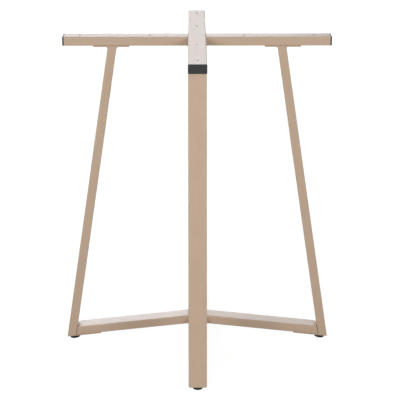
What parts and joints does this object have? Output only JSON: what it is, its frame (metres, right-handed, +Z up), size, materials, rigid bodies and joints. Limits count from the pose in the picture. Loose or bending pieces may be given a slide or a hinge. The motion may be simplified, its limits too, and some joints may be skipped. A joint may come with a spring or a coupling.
{
  "type": "metal table base",
  "caption": "Splayed four-leg table base of flat rectangular steel tube, with a drilled top cross and a low rising floor cross.",
  "frame": {"origin": "on the floor, under the centre of the top cross", "axes": "+Z up, +X to the right along the side arms, -Y towards the front; the long arm runs along Y"},
  "size_m": [0.6118, 0.6118, 0.725],
  "materials": {
    "powder_coat": "satin",
    "cap_plastic": "matte",
    "foot_rubber": "matte",
    "fastener_steel": "satin"
  },
  "bodies": {
    "root": {"arm_rivet_nuts": "fastener_steel", "back_end_cap": "cap_plastic", "back_foot_pad": "foot_rubber", "back_foot_plate": "powder_coat", "back_leg": "powder_coat", "back_stretcher": "powder_coat", "back_top_plate": "powder_coat", "foot_pad_screws": "fastener_steel", "foot_pad_washers": "fastener_steel", "foot_plate_bolts": "fastener_steel", "front_end_cap": "cap_plastic", "front_foot_pad": "foot_rubber", "front_foot_plate": "powder_coat", "front_leg": "powder_coat", "front_stretcher": "powder_coat", "front_top_plate": "powder_coat", "left_arm": "powder_coat", "left_end_cap": "cap_plastic", "left_foot_pad": "foot_rubber", "left_foot_plate": "powder_coat", "left_leg": "powder_coat", "left_stretcher": "powder_coat", "left_top_plate": "powder_coat", "long_arm": "powder_coat", "right_arm": "powder_coat", "right_end_cap": "cap_plastic", "right_foot_pad": "foot_rubber", "right_foot_plate": "powder_coat", "right_leg": "powder_coat", "right_stretcher": "powder_coat", "right_top_plate": "powder_coat", "stretcher_rivet_nuts": "fastener_steel", "top_plate_bolts": "fastener_steel"}
  },
  "joints": []
}
